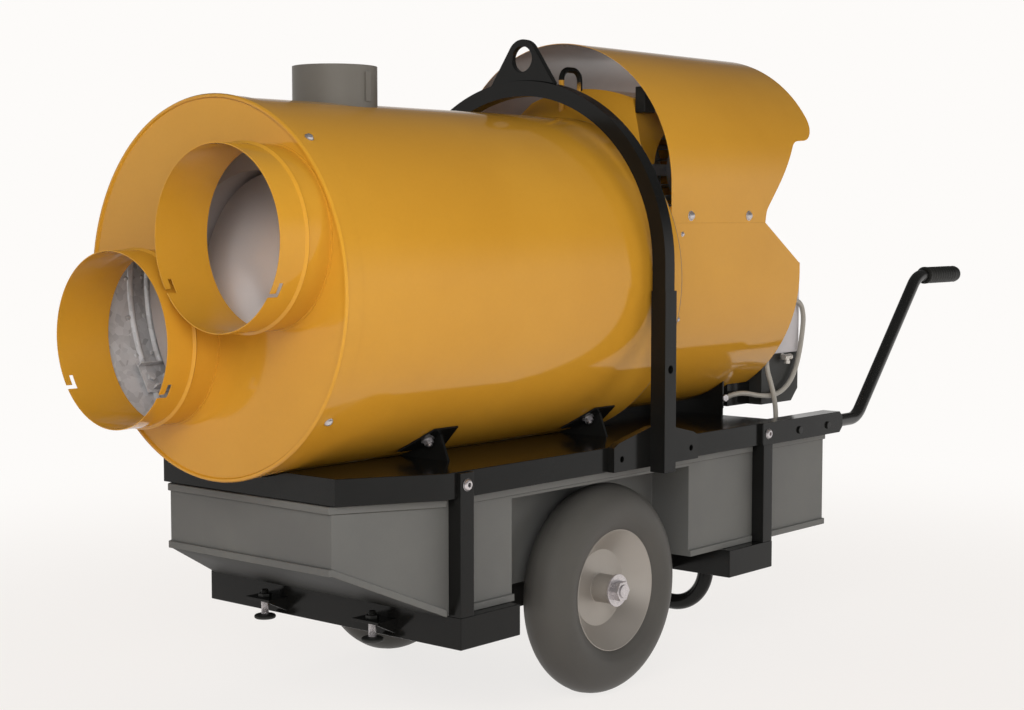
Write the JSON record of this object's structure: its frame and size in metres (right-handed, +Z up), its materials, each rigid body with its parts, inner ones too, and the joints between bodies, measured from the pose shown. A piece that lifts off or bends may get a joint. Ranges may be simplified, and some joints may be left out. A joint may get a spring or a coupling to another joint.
{
  "type": "indirect-fired diesel heater",
  "caption": "Wheeled indirect-fired diesel heater: a barrel heat exchanger with warm-air spigots and flue, a fuel tank chassis, a rear burner and blower hood, push handles and a lifting arch.",
  "frame": {"origin": "the middle of the heater's footprint, on the floor", "axes": "+X along the barrel towards the handles, +Y to the right of someone pushing, +Z up"},
  "size_m": [2.2, 0.73, 1.2569],
  "materials": {
    "yellow_paint": "glossy golden-yellow stoving enamel",
    "black_paint": "glossy black powder coat",
    "tank_grey": "mid-grey moulded polyethylene",
    "tyre_rubber": "dark grey tyre rubber",
    "rim_metal": "light grey satin paint",
    "zinc_steel": "bright zinc plating",
    "flue_steel": "heat-dulled steel",
    "grip_rubber": "black moulded grip",
    "burner_grey": "light grey satin paint on steel",
    "burner_black": "black satin paint on steel",
    "pump_alloy": "cast alloy",
    "hose_rubber": "grey fuel hose",
    "fitting_brass": "nickel-plated brass",
    "galvanised": "galvanised sheet",
    "cap_black": "black moulded plastic"
  },
  "bodies": {
    "heater": {"axle": "zinc_steel", "wheel_bearings": "zinc_steel", "axle_nuts": "zinc_steel", "front_beam": "black_paint", "rear_beam": "black_paint", "chassis_rails": "black_paint", "tank_straps": "black_paint", "rear_stand": "black_paint", "foot_brackets": "black_paint", "fuel_tank": "tank_grey", "deck": "black_paint", "left_rail": "black_paint", "right_rail": "black_paint", "left_handle": "black_paint", "right_handle": "black_paint", "left_grip": "grip_rubber", "right_grip": "grip_rubber", "handle_bolts": "black_paint", "barrel_shell": "yellow_paint", "front_lid": "yellow_paint", "upper_outlet": "yellow_paint", "lower_outlet": "yellow_paint", "rear_plate": "flue_steel", "chimney_stub": "flue_steel", "combustion_chamber": "flue_steel", "heat_exchanger": "flue_steel", "exchanger_bands": "flue_steel", "exchanger_brackets": "flue_steel", "burner_tunnel": "flue_steel", "burner_housing": "burner_grey", "burner_base": "burner_black", "fuel_pump": "pump_alloy", "supply_hose": "hose_rubber", "return_hose": "hose_rubber", "hose_fittings": "fitting_brass", "lower_shell": "yellow_paint", "rear_hood": "yellow_paint", "air_duct": "yellow_paint", "blower_housing": "yellow_paint", "blower_motor": "pump_alloy", "blower_shelf": "black_paint", "junction_box": "burner_black", "control_box": "burner_black", "front_saddle": "black_paint", "middle_saddle": "black_paint", "rear_saddle": "black_paint", "lifting_arch": "black_paint", "lifting_eye": "black_paint", "arch_feet": "black_paint", "casing_screws": "zinc_steel", "frame_bolts": "zinc_steel"},
    "left_wheel": {"left_tyre": "tyre_rubber", "left_rim": "rim_metal"},
    "right_wheel": {"right_tyre": "tyre_rubber", "right_rim": "rim_metal"},
    "blower_rotor": {"blower_wheel": "galvanised"},
    "left_foot": {"left_levelling_foot": "zinc_steel"},
    "right_foot": {"right_levelling_foot": "zinc_steel"},
    "filler_cap": {"fuel_cap": "cap_black"},
    "selector": {"selector_knob": "cap_black"}
  },
  "joints": [
    {"name": "left_wheel_spin", "type": "hinge", "parent": "heater", "child": "left_wheel", "pos_m": [-0.276, -0.27, 0.2], "axis": [0, 1, 0], "continuous": true},
    {"name": "right_wheel_spin", "type": "hinge", "parent": "heater", "child": "right_wheel", "pos_m": [-0.276, 0.27, 0.2], "axis": [0, 1, 0], "continuous": true},
    {"name": "blower_spin", "type": "hinge", "parent": "heater", "child": "blower_rotor", "pos_m": [0.17, 0, 1], "axis": [0, 1, 0], "continuous": true},
    {"name": "left_foot_screw", "type": "slide", "parent": "heater", "child": "left_foot", "axis": [0, 0, 1], "range_m": [-0.012, 0.012]},
    {"name": "right_foot_screw", "type": "slide", "parent": "heater", "child": "right_foot", "axis": [0, 0, 1], "range_m": [-0.012, 0.012]},
    {"name": "fuel_cap_turn", "type": "hinge", "parent": "heater", "child": "filler_cap", "pos_m": [0.451, 0.236, 0.44], "axis": [0, 0, 1], "range_deg": [0, 90]},
    {"name": "selector_turn", "type": "hinge", "parent": "heater", "child": "selector", "pos_m": [0.476, -0.04, 0.868], "axis": [1, 0, 0], "range_deg": [-60, 60]}
  ]
}
